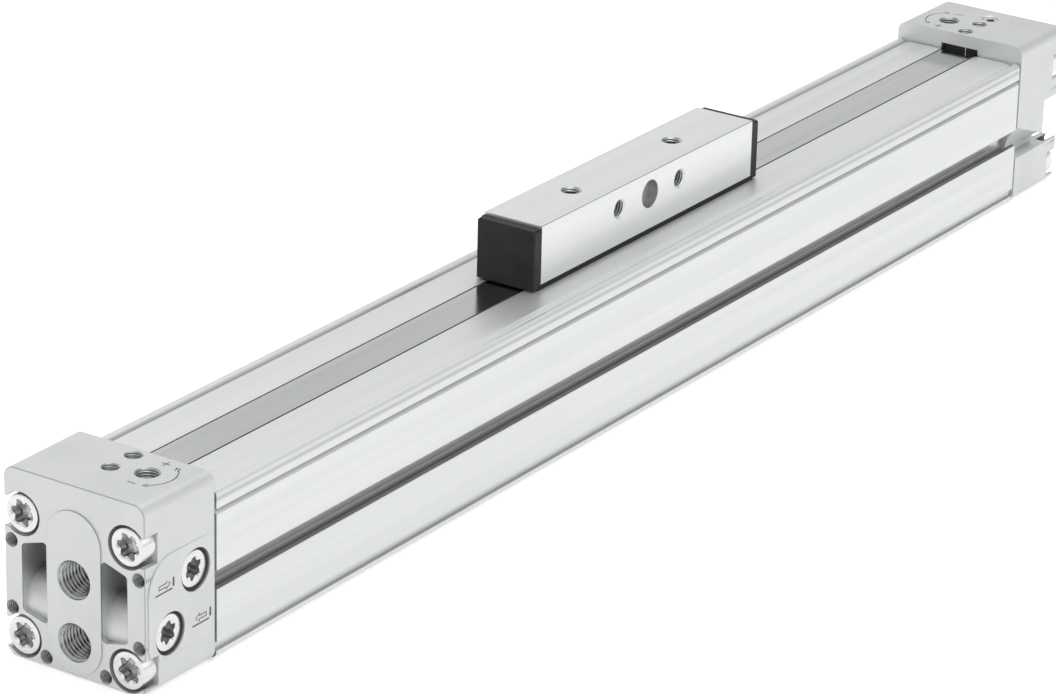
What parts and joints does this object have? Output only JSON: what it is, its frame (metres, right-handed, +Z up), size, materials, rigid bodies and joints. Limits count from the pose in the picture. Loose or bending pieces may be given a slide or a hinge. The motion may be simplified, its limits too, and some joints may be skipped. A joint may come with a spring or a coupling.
{
  "type": "rodless pneumatic cylinder",
  "caption": "Slot-type rodless air cylinder: an extruded barrel between two end caps, with a slider on top that a piston drives through a band-sealed slot.",
  "frame": {"origin": "middle of the length and width, on the plane that the end caps stand on", "axes": "+X along the stroke from the cap with the open air ports to the other cap, +Z up towards the slider"},
  "size_m": [0.45, 0.043, 0.0617],
  "materials": {
    "anodised_barrel": "clear anodised extrusion, fine lines along the length",
    "cast_cap": "fine-blasted die casting, clear anodised",
    "slider_aluminium": "machined and clear anodised",
    "inner_aluminium": "machined",
    "band_steel": "rolled stainless steel, glossy",
    "bright_steel": "zinc-plated",
    "plug_steel": "nickel-plated",
    "black_plastic": "moulded, satin",
    "guide_plastic": "sliding plastic",
    "black_rubber": "matt",
    "felt": "dense wiper felt",
    "magnet": "bonded magnet"
  },
  "bodies": {
    "barrel": {"barrel_profile": "anodised_barrel", "end_cap_near": "cast_cap", "end_cap_far": "cast_cap", "end_gasket_near": "black_rubber", "end_gasket_far": "black_rubber", "cap_screws_near": "bright_steel", "cap_screws_far": "bright_steel", "band_clamp_near": "black_plastic", "band_clamp_far": "black_plastic", "band_clamp_screws_near": "bright_steel", "band_clamp_screws_far": "bright_steel", "spigot_seal_near": "black_rubber", "spigot_seal_far": "black_rubber", "cushion_seal_near": "black_rubber", "cushion_seal_far": "black_rubber", "side_port_plugs_near": "plug_steel", "front_port_plugs_far": "plug_steel", "top_vent_plug_far": "plug_steel", "outer_cover_band": "band_steel", "inner_seal_band": "band_steel"},
    "slider": {"slider_block": "slider_aluminium", "slider_guide_strips": "guide_plastic", "piston_yoke": "inner_aluminium", "yoke_cross_pins": "bright_steel", "slider_rim_near": "black_plastic", "slider_rim_far": "black_plastic", "slider_cover_near": "black_plastic", "slider_cover_far": "black_plastic", "band_wiper_near": "felt", "band_wiper_far": "felt", "band_deflector_near": "guide_plastic", "band_deflector_far": "guide_plastic", "piston_end_near": "inner_aluminium", "piston_end_far": "inner_aluminium", "guide_ring_near": "guide_plastic", "guide_ring_far": "guide_plastic", "position_magnet_near": "magnet", "position_magnet_far": "magnet", "piston_seal_near": "black_rubber", "piston_seal_far": "black_rubber", "cushion_spigot_near": "inner_aluminium", "cushion_spigot_far": "inner_aluminium", "spigot_screw_near": "bright_steel", "spigot_screw_far": "bright_steel"},
    "cushion_needle_near": {"cushion_screw_near": "bright_steel", "cushion_screw_seal_near": "black_rubber"},
    "cushion_needle_far": {"cushion_screw_far": "bright_steel", "cushion_screw_seal_far": "black_rubber"}
  },
  "joints": [
    {"name": "slider_travel", "type": "slide", "parent": "barrel", "child": "slider", "axis": [1, 0, 0], "range_m": [-0.135, 0.115], "deforming": ["outer_cover_band", "inner_seal_band"]},
    {"name": "cushion_turn_near", "type": "hinge", "parent": "barrel", "child": "cushion_needle_near", "pos_m": [-0.2082, -0.0092, 0.045], "axis": [0, 0, 1], "range_deg": [-180, 720]},
    {"name": "cushion_turn_far", "type": "hinge", "parent": "barrel", "child": "cushion_needle_far", "pos_m": [0.2082, 0.0092, 0.045], "axis": [0, 0, 1], "range_deg": [-180, 720]}
  ]
}
